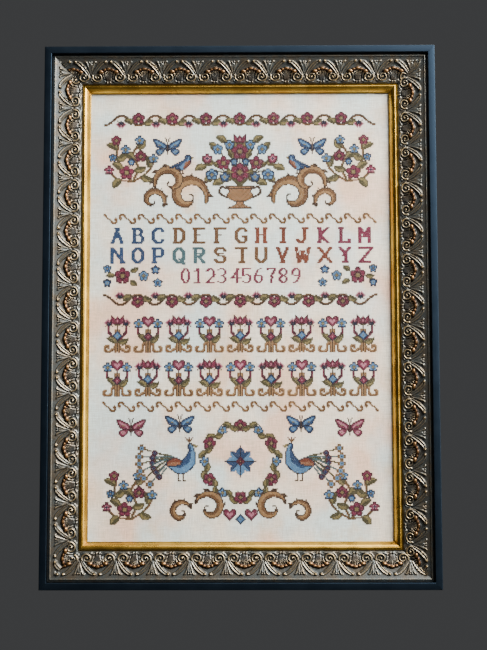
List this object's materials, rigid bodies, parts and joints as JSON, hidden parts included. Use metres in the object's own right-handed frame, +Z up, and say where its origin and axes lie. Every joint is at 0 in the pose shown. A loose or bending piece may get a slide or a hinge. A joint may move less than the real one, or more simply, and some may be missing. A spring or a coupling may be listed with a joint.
{
  "type": "framed cross stitch sampler",
  "caption": "Upright rectangular picture frame, black outside with a carved antique gilt moulding and a gold fillet, round flat linen worked with bands of counted cross stitch.",
  "frame": {"origin": "middle of the carved top rail's back face, where the frame lies on the wall", "axes": "+Z up the picture, +Y out of the back into the wall, +X to the right for someone who faces the picture"},
  "size_m": [0.469, 0.03, 0.646],
  "materials": {
    "cap": "satin black lacquer",
    "carving": "carved, antique gilt over grey and red-brown toning",
    "fillet": "burnished gold leaf",
    "linen": "mottled natural linen with cotton floss",
    "board": "plain grey pulp board"
  },
  "bodies": {
    "root": {"cap_rail_top": "cap", "cap_rail_right": "cap", "cap_rail_bottom": "cap", "cap_rail_left": "cap", "carved_rail_top": "carving", "carved_rail_right": "carving", "carved_rail_bottom": "carving", "carved_rail_left": "carving", "gilt_fillet_top": "fillet", "gilt_fillet_right": "fillet", "gilt_fillet_bottom": "fillet", "gilt_fillet_left": "fillet", "linen": "linen", "mount_board": "board"}
  },
  "joints": []
}
